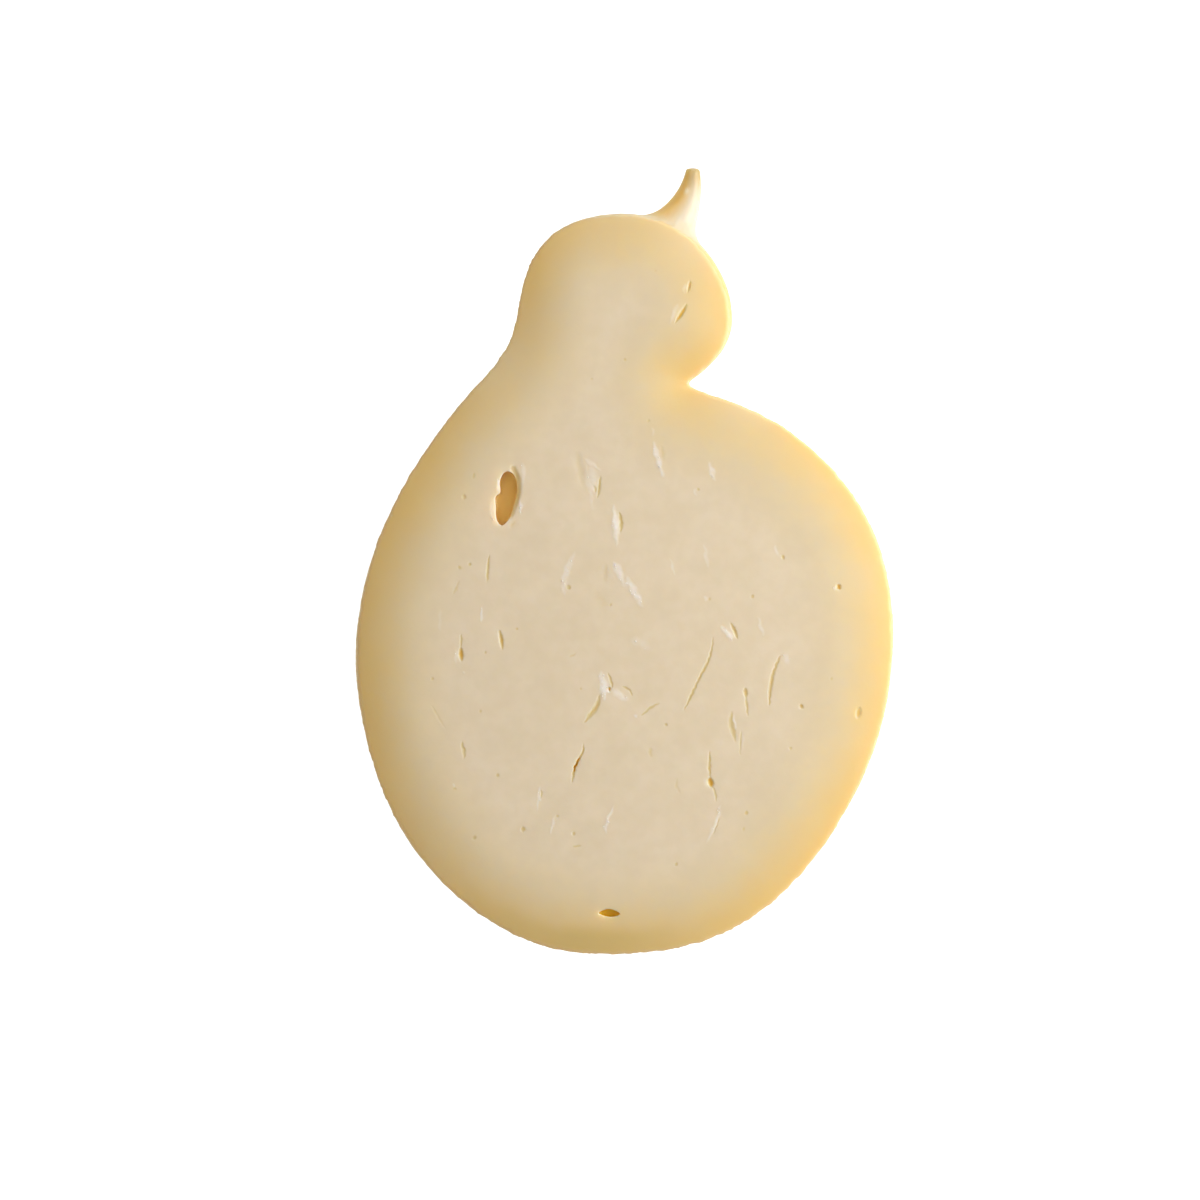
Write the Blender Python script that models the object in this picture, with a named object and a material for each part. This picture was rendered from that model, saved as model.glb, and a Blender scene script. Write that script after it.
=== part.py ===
"""Half of a caciocavallo, a pear-shaped cheese of stretched curd with a small round head.

The cheese was cut lengthwise through head and body. This half lies on its rounded back with the cut
face up and its head towards +Y. One solid holds the whole piece: body, head, the pulled tip behind
the head, and the eyes and slits that open in the cut face.
"""

import math
from collections import namedtuple

import bmesh
import bpy
import numpy as np

MM = 0.001

# Sizes of the skin, in mm. The body is 145 wide, as on a whole cheese of about 2 kg.
ROW_SPACING = 4.5
SECTION_SEGMENTS = 28
FLAT_SPOT_DEPTH = 2.4
# The knife passed a little in front of the widest part, so the rind stands out this far below it.
OVERHANG_ANGLE = math.radians(6.0)

# One section across the cheese, in mm: its two ends on the cut face, its depth over its half width,
# and how far its back leans to the right and towards the crown for each mm of depth.
Section = namedtuple("Section", "left right depth lean")
SECTIONS = (
    Section((-1.0, 93.0), (-1.0, 93.0), 0.96, (0.20, 0.25)),
    Section((-17.4, 89.2), (14.4, 89.2), 0.96, (0.20, 0.22)),
    Section((-26.0, 78.5), (24.4, 78.5), 0.96, (0.20, 0.18)),
    Section((-28.6, 67.5), (28.3, 66.5), 0.95, (0.16, 0.12)),
    Section((-30.6, 59.6), (25.5, 56.2), 0.92, (0.10, 0.04)),
    Section((-32.4, 56.3), (19.4, 50.2), 0.88, (0.06, 0.00)),
    Section((-34.6, 53.0), (16.4, 47.8), 0.87, (0.04, 0.00)),
    Section((-37.4, 49.8), (21.0, 45.7), 0.88, (0.03, 0.00)),
    Section((-43.0, 43.5), (33.6, 41.1), 0.91, (0.02, 0.00)),
    Section((-51.4, 32.7), (50.0, 30.6), 0.94, (0.00, 0.00)),
    Section((-63.8, 11.3), (66.4, 9.3), 0.95, (0.00, 0.00)),
    Section((-71.2, -15.0), (72.0, -15.0), 0.95, (0.00, 0.00)),
    Section((-70.6, -40.5), (69.8, -40.5), 0.95, (0.00, 0.00)),
    Section((-61.6, -68.5), (58.4, -68.5), 0.95, (0.00, 0.00)),
    Section((-42.9, -91.4), (39.2, -91.8), 0.95, (0.00, 0.00)),
    Section((-23.6, -102.4), (20.0, -102.2), 0.95, (0.00, 0.00)),
    Section((-2.5, -105.3), (-2.5, -105.3), 0.95, (0.00, 0.00)),
)

# The pulled tip, from inside the head outwards, in mm: points on its axis, how far each lies below
# the cut face, and the radius there.
TipPoint = namedtuple("TipPoint", "place below radius")
TIP = (
    TipPoint((9.5, 83.0), 12.0, 9.0),
    TipPoint((12.8, 91.4), 10.5, 6.0),
    TipPoint((15.4, 95.0), 9.6, 4.1),
    TipPoint((17.1, 98.0), 9.2, 3.1),
    TipPoint((17.9, 100.8), 9.0, 2.6),
    TipPoint((18.5, 103.0), 9.0, 2.0),
    TipPoint((18.6, 105.6), 9.0, 1.7),
)
TIP_CURVE_STEPS = 4
TIP_BEVEL_RESOLUTION = 3

# Round eyes that gas left in the curd, in mm: centre on the cut face, length, width and depth, and
# the turn of the long side from +Y, anticlockwise, in degrees. The first two are one double eye.
Eye = namedtuple("Eye", "place length width depth turn")
EYES = (
    Eye((-31.0, 19.3), 9.6, 5.1, 6.0, 0),
    Eye((-32.2, 14.6), 9.6, 5.2, 7.0, 0),
    Eye((-4.1, -94.2), 5.9, 2.0, 3.5, 90),
    Eye((-43.6, -24.4), 3.2, 1.6, 2.5, 5),
    Eye((-33.1, -20.5), 3.5, 1.4, 2.0, 8),
    Eye((23.2, -59.0), 2.9, 1.8, 3.0, 5),
    Eye((32.5, -34.7), 1.6, 1.4, 2.0, 0),
    Eye((62.7, -40.8), 2.2, 1.4, 2.0, 0),
    Eye((29.4, -18.5), 3.0, 1.3, 2.0, -20),
)

# Slits where layers of the stretched curd have parted, in mm: the two ends on the cut face, width
# and depth.
Slit = namedtuple("Slit", "start end width depth")
SLITS = (
    Slit((18.0, 75.4), (16.6, 72.7), 0.9, 1.5),
    Slit((16.4, 68.9), (13.7, 63.7), 1.2, 2.0),
    Slit((7.0, 36.8), (10.7, 24.1), 1.0, 2.0),
    Slit((-6.2, 23.9), (-7.3, 16.6), 1.6, 3.0),
    Slit((-1.4, 13.4), (-0.6, 8.0), 1.2, 3.0),
    Slit((-36.6, 1.1), (-36.8, -4.8), 0.8, 2.0),
    Slit((-13.7, 2.7), (-16.2, -5.1), 0.8, 1.5),
    Slit((11.9, 0.7), (13.6, -3.5), 0.9, 1.5),
    Slit((23.5, -22.0), (16.0, -39.4), 0.9, 3.0),
    Slit((41.5, -25.5), (39.1, -38.4), 0.8, 2.5),
    Slit((9.9, -37.8), (4.0, -41.3), 0.7, 1.5),
    Slit((-6.8, -37.6), (-10.8, -43.3), 0.9, 2.5),
    Slit((28.9, -40.2), (30.0, -48.0), 1.0, 2.5),
    Slit((-43.0, -48.8), (-42.8, -52.8), 0.8, 2.0),
    Slit((-10.8, -49.1), (-14.0, -58.5), 1.2, 4.0),
    Slit((-22.4, -58.2), (-23.0, -66.3), 0.7, 1.5),
    Slit((23.6, -61.4), (25.0, -65.0), 0.8, 2.0),
    Slit((-2.9, -64.9), (-5.1, -72.4), 0.7, 1.5),
    Slit((25.2, -67.3), (22.4, -74.8), 0.8, 1.5),
)
HOLLOW_SEGMENTS = 8
HOLLOW_RINGS = 6
# A hollow is a little more than half an egg: its middle lies this share of its depth too high.
HOLLOW_RISE = 0.15


def smooth_loop(points, knots, period):
    """The closed curve with smoothly changing bend through the points, as a function of the knot."""
    count = len(points)
    steps = np.diff(np.append(knots, knots[0] + period))
    slopes = (np.roll(points, -1, axis=0) - points) / steps[:, None]
    system = np.zeros((count, count))
    for i in range(count):
        system[i, i - 1] = steps[i - 1]
        system[i, i] = 2 * (steps[i - 1] + steps[i])
        system[i, (i + 1) % count] = steps[i]
    bends = np.linalg.solve(system, 6 * (slopes - np.roll(slopes, 1, axis=0)))

    def at(knot):
        along = (knot - knots[0]) % period
        i = int(np.searchsorted(knots - knots[0], along, side="right")) - 1
        start, end = bends[i], bends[(i + 1) % count]
        run = along - (knots[i] - knots[0])
        slope = slopes[i] - steps[i] * (2 * start + end) / 6
        return points[i] + run * (slope + run * (start / 2 + run * (end - start) / (6 * steps[i])))

    return at


def outline():
    """The outline as a function, and the knots of the loft's rows from crown to foot.

    At a positive knot the function gives the right end of a section, as x, y, depth and lean, and
    at the same knot below zero its left end.
    """
    left = np.array([(*each.left, each.depth, *each.lean) for each in SECTIONS])
    right = np.array([(*each.right, each.depth, *each.lean) for each in SECTIONS])
    gaps = [np.hypot(*np.diff(side[:, :2], axis=0).T) for side in (left, right)]
    knots = np.concatenate([[0.0], np.cumsum((gaps[0] + gaps[1]) / 2)])
    period = 2 * knots[-1]
    loop = np.concatenate([right, left[-2:0:-1]])
    loop_knots = np.concatenate([knots, period - knots[-2:0:-1]])
    rows = [0.0]
    for start, end in zip(knots, knots[1:]):
        count = math.ceil((end - start) / ROW_SPACING)
        rows += [start + (end - start) * (i + 1) / count for i in range(count)]
    return smooth_loop(loop, loop_knots, period), rows


def section_points(left, right):
    """Points along one section, from its left end round the back to its right end."""
    middle, reach = (left[:2] + right[:2]) / 2, (right[:2] - left[:2]) / 2
    full_depth = left[2] * np.hypot(*reach)
    rise = math.sin(OVERHANG_ANGLE)
    points = []
    for i in range(SECTION_SEGMENTS + 1):
        turn = -OVERHANG_ANGLE + (math.pi + 2 * OVERHANG_ANGLE) * i / SECTION_SEGMENTS
        depth = full_depth * (math.sin(turn) + rise) / (1 + rise)
        across = middle - reach * math.cos(turn) / math.cos(OVERHANG_ANGLE)
        points.append((*(across + left[3:] * depth), -depth))
    return points


def half_cheese():
    """Body and head as one skin: sections lofted from crown to foot, and the flat face between them.

    Returns the skin and the height of its cut face above the flat spot that it rests on.
    """
    at, rows = outline()
    sections = [section_points(at(-row), at(row)) for row in rows[1:-1]]
    top = max(-z for points in sections for _, _, z in points) - FLAT_SPOT_DEPTH
    skin = bmesh.new()

    def corner(x, y, z=0.0):
        return skin.verts.new((x * MM, y * MM, (z + top) * MM))

    crown = corner(*at(rows[0])[:2])
    foot = corner(*at(rows[-1])[:2])
    rings = [[corner(*point) for point in points] for points in sections]
    for i in range(SECTION_SEGMENTS):
        skin.faces.new((crown, rings[0][i], rings[0][i + 1]))
        skin.faces.new((foot, rings[-1][i + 1], rings[-1][i]))
    for upper, lower in zip(rings, rings[1:]):
        for i in range(SECTION_SEGMENTS):
            skin.faces.new((upper[i], lower[i], lower[i + 1], upper[i + 1]))
        skin.faces.new((upper[0], upper[-1], lower[-1], lower[0]))
    skin.faces.new((crown, rings[0][-1], rings[0][0]))
    skin.faces.new((foot, rings[-1][0], rings[-1][-1]))
    return skin, top


def flatten_underside(skin):
    """Slices the back at height 0, where the cheese has settled flat under its own weight."""
    everything = list(skin.verts) + list(skin.edges) + list(skin.faces)
    cut = bmesh.ops.bisect_plane(
        skin, geom=everything, plane_co=(0, 0, 0), plane_no=(0, 0, -1), clear_outer=True
    )
    edges = [item for item in cut["geom_cut"] if isinstance(item, bmesh.types.BMEdge)]
    bmesh.ops.contextual_create(skin, geom=edges)


def add_object(name, shape, collection):
    mesh = bpy.data.meshes.new(name)
    bmesh.ops.recalc_face_normals(shape, faces=shape.faces)
    shape.to_mesh(mesh)
    shape.free()
    item = bpy.data.objects.new(name, mesh)
    collection.objects.link(item)
    return item


def pulled_tip(top, collection):
    """The tip drawn out of the curd when the head was closed: a bent tube that flares at the head."""
    curve = bpy.data.curves.new("tip_axis", "CURVE")
    curve.dimensions = "3D"
    curve.bevel_depth = MM
    curve.bevel_resolution = TIP_BEVEL_RESOLUTION
    curve.resolution_u = TIP_CURVE_STEPS
    curve.use_fill_caps = True
    spline = curve.splines.new("BEZIER")
    spline.bezier_points.add(len(TIP) - 1)
    for point, (place, below, radius) in zip(spline.bezier_points, TIP):
        point.co = (place[0] * MM, place[1] * MM, (top - below) * MM)
        point.radius = radius
        point.handle_left_type = point.handle_right_type = "AUTO"
    guide = bpy.data.objects.new("tip_axis", curve)
    collection.objects.link(guide)
    tube = bpy.data.meshes.new_from_object(guide.evaluated_get(bpy.context.evaluated_depsgraph_get()))
    shape = bmesh.new()
    shape.from_mesh(tube)
    bmesh.ops.remove_doubles(shape, verts=shape.verts, dist=1e-5)
    bpy.data.objects.remove(guide)
    bpy.data.meshes.remove(tube)
    add_object("tip", shape, collection)


def add_hollow(name, place, length, width, depth, turn, top, collection):
    """A cutter for one eye or slit: an egg that reaches depth below the cut face."""
    rise = HOLLOW_RISE * depth
    shape = bmesh.new()
    bmesh.ops.create_uvsphere(
        shape, u_segments=HOLLOW_SEGMENTS, v_segments=HOLLOW_RINGS, radius=MM / 2
    )
    item = add_object(name, shape, collection)
    item.scale = (width, 2 * (depth + rise), length)
    item.rotation_euler = (math.radians(90), 0, turn)
    item.location = (place[0] * MM, place[1] * MM, (top + rise) * MM)


def add_hollows(top, collection):
    for i, eye in enumerate(EYES, 1):
        turn = math.radians(eye.turn)
        add_hollow(f"eye_{i}", eye.place, eye.length, eye.width, eye.depth, turn, top, collection)
    for i, slit in enumerate(SLITS, 1):
        x, y = np.subtract(slit.end, slit.start)
        middle = np.add(slit.start, slit.end) / 2
        turn = math.atan2(-x, y)
        length = math.hypot(x, y)
        add_hollow(f"slit_{i}", middle, length, slit.width, slit.depth, turn, top, collection)


def cheese_material():
    material = bpy.data.materials.new("cheese")
    material.use_nodes = True
    shader = material.node_tree.nodes["Principled BSDF"]
    shader.inputs["Base Color"].default_value = (0.72, 0.60, 0.38, 1.0)
    shader.inputs["Roughness"].default_value = 0.55
    shader.inputs["Metallic"].default_value = 0.0
    return material


def add_collection(name, is_helper=False):
    collection = bpy.data.collections.new(name)
    collection.hide_render = is_helper
    bpy.context.scene.collection.children.link(collection)
    return collection


def add_boolean(item, name, operation, collection):
    modifier = item.modifiers.new(name, "BOOLEAN")
    modifier.operation = operation
    modifier.operand_type = "COLLECTION"
    modifier.collection = collection
    modifier.solver = "EXACT"


def build():
    for item in list(bpy.data.objects):
        bpy.data.objects.remove(item)
    cheese = add_collection("caciocavallo")
    tips = add_collection("caciocavallo_tip", is_helper=True)
    hollows = add_collection("caciocavallo_cutters", is_helper=True)
    skin, top = half_cheese()
    flatten_underside(skin)
    half = add_object("caciocavallo_half", skin, cheese)
    half.data.materials.append(cheese_material())
    pulled_tip(top, tips)
    add_hollows(top, hollows)
    for helper in list(tips.objects) + list(hollows.objects):
        helper.hide_render = True
        helper.display_type = "WIRE"
    add_boolean(half, "pulled tip", "UNION", tips)
    add_boolean(half, "eyes and slits", "DIFFERENCE", hollows)
    half.data.shade_smooth()
    half.data.set_sharp_from_angle(angle=math.radians(40))


build()
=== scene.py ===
import math
from collections import namedtuple

import bmesh
import bpy
import numpy as np
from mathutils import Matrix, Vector, kdtree
from mathutils.geometry import delaunay_2d_cdt


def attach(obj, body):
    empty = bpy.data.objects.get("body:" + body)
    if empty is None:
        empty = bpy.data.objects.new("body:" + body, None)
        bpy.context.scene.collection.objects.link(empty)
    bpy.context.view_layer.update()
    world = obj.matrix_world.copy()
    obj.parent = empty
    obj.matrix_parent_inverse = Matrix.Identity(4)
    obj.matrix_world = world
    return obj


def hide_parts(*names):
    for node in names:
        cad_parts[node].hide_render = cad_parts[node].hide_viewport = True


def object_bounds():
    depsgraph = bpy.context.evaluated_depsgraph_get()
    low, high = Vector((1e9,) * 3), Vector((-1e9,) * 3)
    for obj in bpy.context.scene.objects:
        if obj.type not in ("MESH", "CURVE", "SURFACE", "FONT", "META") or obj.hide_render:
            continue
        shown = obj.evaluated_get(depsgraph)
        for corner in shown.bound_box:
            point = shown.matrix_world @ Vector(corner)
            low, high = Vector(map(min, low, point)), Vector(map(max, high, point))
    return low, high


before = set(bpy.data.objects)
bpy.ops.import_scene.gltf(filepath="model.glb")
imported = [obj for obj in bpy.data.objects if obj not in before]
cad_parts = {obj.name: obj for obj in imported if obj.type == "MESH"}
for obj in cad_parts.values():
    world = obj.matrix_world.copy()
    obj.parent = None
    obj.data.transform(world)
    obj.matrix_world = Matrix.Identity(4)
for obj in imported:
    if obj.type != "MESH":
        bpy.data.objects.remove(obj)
cad_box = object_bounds()


# The body and head. The real cheese is one lump of stretched curd, worked round by hand and hung by
# its neck to ripen, so its skin is smooth and full. One stroke of a knife then cut it lengthwise.
# Sizes are in millimetres, and heights count down from the cut face.

MM = 0.001
CUT_HEIGHT = cad_box[1].z / MM
OVERHANG = math.radians(6)  # the skin still widens a little below the cut
SETTLE = 0.4  # softness of the edge of the flat spot it lies on
CLEAR = 0.6  # how far a lattice keeps from rows of points, as a share of its step
RIM_STEP = 0.85
SKIN_STEP = 1.08
EDGE_SAMPLES = 4000  # points by which lengths along the cut edge are measured
ROW_SAMPLES, ARC_SAMPLES = 300, 61

# Places of the cut edge on the left and on the right, the body's depth there as a share of half its
# width, and the lean of its back for each millimetre of depth, from the crown to the foot.
Section = namedtuple("Section", "left right depth lean")
SECTIONS = (
    Section((-1.0, 93.0), (-1.0, 93.0), 0.96, (0.20, 0.25)),
    Section((-17.4, 89.2), (14.4, 89.2), 0.96, (0.20, 0.22)),
    Section((-26.0, 78.5), (24.4, 78.5), 0.96, (0.20, 0.18)),
    Section((-28.6, 67.5), (28.3, 66.5), 0.95, (0.16, 0.12)),
    Section((-30.6, 59.6), (25.5, 56.2), 0.92, (0.10, 0.04)),
    Section((-32.4, 56.3), (19.4, 50.2), 0.88, (0.06, 0.00)),
    Section((-34.6, 53.0), (17.3, 47.9), 0.87, (0.04, 0.00)),
    Section((-37.4, 49.8), (21.0, 45.7), 0.88, (0.03, 0.00)),
    Section((-43.0, 43.5), (33.6, 41.1), 0.91, (0.02, 0.00)),
    Section((-51.4, 32.7), (50.0, 30.6), 0.94, (0.00, 0.00)),
    Section((-63.8, 11.3), (66.4, 9.3), 0.95, (0.00, 0.00)),
    Section((-71.2, -15.0), (72.0, -15.0), 0.95, (0.00, 0.00)),
    Section((-70.6, -40.5), (69.8, -40.5), 0.95, (0.00, 0.00)),
    Section((-61.6, -68.5), (58.4, -68.5), 0.95, (0.00, 0.00)),
    Section((-42.9, -91.4), (39.2, -91.8), 0.95, (0.00, 0.00)),
    Section((-23.6, -102.4), (20.0, -102.2), 0.95, (0.00, 0.00)),
    Section((-2.5, -105.3), (-2.5, -105.3), 0.95, (0.00, 0.00)),
)


def smooth_loop(points, knots, period):
    """The closed curve with smoothly changing bend through the points, read at any knots."""
    count = len(points)
    steps = np.diff(np.append(knots, knots[0] + period))
    slopes = (np.roll(points, -1, axis=0) - points) / steps[:, None]
    system = np.zeros((count, count))
    for i in range(count):
        system[i, i - 1] = steps[i - 1]
        system[i, i] = 2 * (steps[i - 1] + steps[i])
        system[i, (i + 1) % count] = steps[i]
    bends = np.linalg.solve(system, 6 * (slopes - np.roll(slopes, 1, axis=0)))

    def at(where):
        along = (np.asarray(where) - knots[0]) % period
        i = np.searchsorted(knots - knots[0], along, side="right") - 1
        start, end, step = bends[i], bends[(i + 1) % count], steps[i][:, None]
        run = (along - (knots[i] - knots[0]))[:, None]
        slope = slopes[i] - step * (2 * start + end) / 6
        return points[i] + run * (slope + run * (start / 2 + run * (end - start) / (6 * step)))

    return at


def cut_edge():
    """The cut edge as a loop from the crown down the right side and up the left, and the foot's knot."""
    left = np.array([(*each.left, each.depth, *each.lean) for each in SECTIONS])
    right = np.array([(*each.right, each.depth, *each.lean) for each in SECTIONS])
    gaps = [np.hypot(*np.diff(side[:, :2], axis=0).T) for side in (left, right)]
    knots = np.concatenate([[0.0], np.cumsum((gaps[0] + gaps[1]) / 2)])
    period = 2 * knots[-1]
    loop = np.concatenate([right, left[-2:0:-1]])
    return smooth_loop(loop, np.concatenate([knots, period - knots[-2:0:-1]]), period), knots[-1]


edge_at, FOOT = cut_edge()


def even_knots(start, end, step):
    """Knots whose points lie the same distance apart along the cut edge, the last one left out."""
    fine = np.linspace(start, end, EDGE_SAMPLES)
    gone = np.append(0, np.cumsum(np.hypot(*np.diff(edge_at(fine)[:, :2], axis=0).T)))
    return np.interp(np.linspace(0, gone[-1], round(gone[-1] / step) + 1), gone, fine)[:-1]


rim_knots = np.concatenate([even_knots(0, FOOT, RIM_STEP), even_knots(FOOT, 2 * FOOT, RIM_STEP)])
rim = edge_at(rim_knots)[:, :2]


def skin_at(rows, shares):
    """Skin points. The row's arc hangs from the left edge, at share -1, to the right edge, at 1."""
    left, right = edge_at(-rows), edge_at(rows)
    middle, reach = (left + right)[:, :2] / 2, (right - left)[:, :2] / 2
    turn = math.pi / 2 + shares * (math.pi / 2 + OVERHANG)
    rise = math.sin(OVERHANG)
    depth = left[:, 2] * np.hypot(*reach.T) * (np.sin(turn) + rise) / (1 + rise)
    across = reach * (np.cos(turn) / math.cos(OVERHANG))[:, None]
    return np.column_stack([middle - across + left[:, 3:] * depth[:, None], -depth])


# The skin is laid out flat for its triangles: across by the arc's length, down by the rows.
row_knots = np.linspace(0, FOOT, ROW_SAMPLES)
arc_shares = np.linspace(-1, 1, ARC_SAMPLES)


def arc_length(row):
    arc = skin_at(np.full(ARC_SAMPLES, row), arc_shares)
    return np.linalg.norm(np.diff(arc, axis=0), axis=1).sum()


arc_lengths = [arc_length(row) for row in row_knots]


def arc_half(rows):
    return np.interp(rows, row_knots, arc_lengths) / 2


def unfold(flat):
    """The skin points of the laid-out ones."""
    rows, half = -flat[:, 1], arc_half(-flat[:, 1])
    return skin_at(rows, np.divide(flat[:, 0], half, out=np.zeros(len(flat)), where=half > 0))


rim_rows = np.minimum(rim_knots, 2 * FOOT - rim_knots)
flat_rim = np.column_stack([np.where(rim_knots < FOOT, 1, -1) * arc_half(rim_rows), -rim_rows])


def tree_of(points):
    """A search tree over flat or spatial points."""
    tree = kdtree.KDTree(len(points))
    for i, point in enumerate(points):
        tree.insert((*point, 0.0)[:3], i)
    tree.balance()
    return tree


def distances(tree, points):
    return np.array([tree.find((*point, 0.0)[:3])[2] for point in points])


def inside(points, border):
    """Which flat points lie inside the border."""
    x, y = points.T
    within = np.zeros(len(points), bool)
    for (x0, y0), (x1, y1) in zip(border, np.roll(border, -1, axis=0)):
        if y0 != y1:
            within ^= ((y0 > y) != (y1 > y)) & (x < (x1 - x0) * (y - y0) / (y1 - y0) + x0)
    return within


def lattice(low, high, step):
    """Even three-way rows of points that fill the box."""
    rows = []
    for i, y in enumerate(np.arange(low[1], high[1], step * math.sqrt(3) / 2)):
        x = np.arange(low[0] + (i % 2) * step / 2, high[0], step)
        rows.append(np.column_stack([x, np.full(len(x), y)]))
    return np.concatenate(rows)


def triangles(border, inner):
    """Flat points and anticlockwise triangles of all that lies inside the border."""
    ring = [(i, (i + 1) % len(border)) for i in range(len(border))]
    points = [Vector(point) for point in np.concatenate([border, inner])]
    found, _, faces, *_ = delaunay_2d_cdt(points, ring, [], 1, 1e-6, False)
    found, faces = np.array(found, float), np.array(faces)
    return found, faces[inside(found[faces].mean(1), border)]


# The tip behind the head. The maker closed the lump by drawing the last of the warm curd out of the
# head's back to a thin tail, and nipped it off. It is the same curd as the rest, so here too the
# tip is drawn out of the head's own skin.

TIP_BASE = np.array((13.4, 91.6, -10.5))
TIP_AXIS = np.array((0.58, 0.76, -0.30))
TIP_CURVE = np.array((TIP_BASE, TIP_BASE + 5 * TIP_AXIS, (18.4, 100.0, -9.4), (18.65, 106.1, -9.0)))
TIP_REACH = 10.0  # how far round its base the skin is drawn in
TIP_END = 1.9  # radius of the end
TIP_SHAFT = 4.0  # what the shaft adds towards its base
TIP_LENGTH = 16.4
TIP_CROWN = 0.03  # how far the middle of its end stands out, as a share of the length
SHAFT_BEND, FLARE_BEND = 1.05, 12  # how late the shaft and the base widen
END_SAMPLES, SHAFT_SAMPLES, PROFILE_SAMPLES = 20, 300, 400
TIP_BLEND = 0.5  # past this share of its reach, the tip goes over into the head's skin
TIP_STEP = 0.42
TIP_AROUND = 2.0  # how far past the reach the closer points are laid at first
TIP_SEAM = 0.5  # gap between the reach and the wider points
EDGE_KEPT = 3.0  # the cut edge stays in place, and the skin moves fully this far below it
TIP_HIGHLIGHT = (17.0, 100.3)  # a painted highlight on the front of the tip
TIP_HIGHLIGHT_SIZE = 0.6
TIP_DEPTH = 9.0  # the skin this far above or below the tip's base stays as it is


def ramp(values, start, end):
    """From 0 at the start to 1 at the end."""
    return np.clip((values - start) / (end - start), 0, 1)


def tip_profile():
    """Height and radius of the drawn tip from the middle of its end to its base, evenly spaced."""
    bend = np.linspace(0, math.pi / 2, END_SAMPLES)[:-1]
    share = np.linspace(1, 0, SHAFT_SAMPLES)
    flare = TIP_REACH - TIP_END - TIP_SHAFT
    radius = TIP_END + TIP_SHAFT * (1 - share) ** SHAFT_BEND + flare * (1 - share) ** FLARE_BEND
    height = np.append(1 + TIP_CROWN * np.cos(bend), share)
    radius = np.append(TIP_END * np.sin(bend), radius)
    gone = np.append(0, np.cumsum(np.hypot(np.diff(height) * TIP_LENGTH, np.diff(radius))))
    even = np.linspace(0, gone[-1], PROFILE_SAMPLES)
    steps = np.linspace(0, 1, PROFILE_SAMPLES)
    return steps, np.interp(even, gone, height), np.interp(even, gone, radius)


def draw_tip(points):
    """The skin points, with those round the tip's base drawn out along its curve.

    Also gives how far along the tip each point is, from 0 to 1, and its side, from -1 left to 1 right.
    """
    axis = TIP_AXIS / np.linalg.norm(TIP_AXIS)
    offset = points - TIP_BASE
    up = offset @ axis
    out = offset - np.outer(up, axis)
    reach = np.linalg.norm(out, axis=1)
    near = (reach < TIP_REACH) & (np.abs(up) < TIP_DEPTH)
    up, out, reach = up[near], out[near], reach[near]
    below_edge = ramp(-points[near, 2:], 0, EDGE_KEPT)
    steps, heights, radii = tip_profile()
    share = reach / TIP_REACH
    height, radius = np.interp(share, steps, heights), np.interp(share, steps, radii)
    h = height[:, None]
    a, b, c, d = TIP_CURVE
    centre = a * (1 - h) ** 3 + 3 * b * h * (1 - h) ** 2 + 3 * c * h * h * (1 - h) + d * h ** 3
    along = (b - a) * (1 - h) ** 2 + 2 * (c - b) * h * (1 - h) + (d - c) * h * h
    along /= np.linalg.norm(along, axis=1)[:, None]
    out = out / np.maximum(reach, 1e-6)[:, None]
    out = out - ((out * along).sum(1) / (1 + along @ axis))[:, None] * (axis + along)
    keep = ramp(share, TIP_BLEND, 1)
    keep = keep * keep * (3 - 2 * keep)
    moved = centre + out * radius[:, None] + np.outer(up * keep, axis)
    drawn, gone, side = points.copy(), np.zeros(len(points)), np.zeros(len(points))
    drawn[near] += (moved - points[near]) * below_edge
    gone[near], side[near] = height, out[:, 0]
    return drawn, gone, side


def skin_lattice():
    """Laid-out skin points, closer together where the tip is drawn from."""
    wide = lattice((-arc_half(row_knots).max(), -FOOT), (arc_half(row_knots).max(), 0), SKIN_STEP)
    wide = wide[np.abs(wide[:, 0]) < arc_half(-wide[:, 1])]
    wide = wide[distances(tree_of(flat_rim), wide) > CLEAR * SKIN_STEP]
    reach = np.linalg.norm(unfold(wide) - TIP_BASE, axis=1)
    around = wide[reach < TIP_REACH + TIP_AROUND]
    close = lattice(around.min(0), around.max(0), TIP_STEP)
    close = close[np.abs(close[:, 0]) < arc_half(-close[:, 1])]
    close = close[np.linalg.norm(unfold(close) - TIP_BASE, axis=1) < TIP_REACH]
    close = close[distances(tree_of(flat_rim), close) > CLEAR * SKIN_STEP]
    return np.concatenate([wide[reach > TIP_REACH + TIP_SEAM], close])


# The cut face. The knife leaves the elastic paste smooth, and the rim, which dries first, has sunk
# and rounded a little. Stretching and ripening gave the paste its eyes, and where the knife dragged
# on the curd's strands it opened slits and raised soft curls of pale torn curd.

RIM_SINK = 2.6  # how far the dry rim lies below the middle
RIM_BAND = 18.0  # width of the band that has sunk
RIM_ROUND = 0.5  # softness of the cut's very edge
RUFFLE, RUFFLE_LENGTH = 0.16, 7.3  # height and length of the edge's unevenness
FINE_RUFFLE, FINE_LENGTH = 0.16, 2.8
FACE_STEPS = (1.2, 0.5, 0.25)
NEAR = (2.0, 0.45)  # how near a mark the closer points start
ROW_STEP = 0.3  # between points along a hollow
ROW_PLACES = (0, 1, -1, 0.5, -0.5, 1.35, -1.35)  # of its rows, as shares of its half width
ROW_GAP = 0.1
EDGE_ROWS = (-0.22, -0.55, -1.15)  # how far in from the cut edge its rows of points lie
EDGE_CLEAR = 1.1 * RIM_STEP + 0.6  # how far the lattice keeps from the cut edge
RIM_SAMPLES = 8000

rim_fine = edge_at(np.linspace(0, 2 * FOOT, RIM_SAMPLES, endpoint=False))[:, :2]
rim_tree = tree_of(rim_fine)

Mark = namedtuple("Mark", "path width amount")

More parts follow.
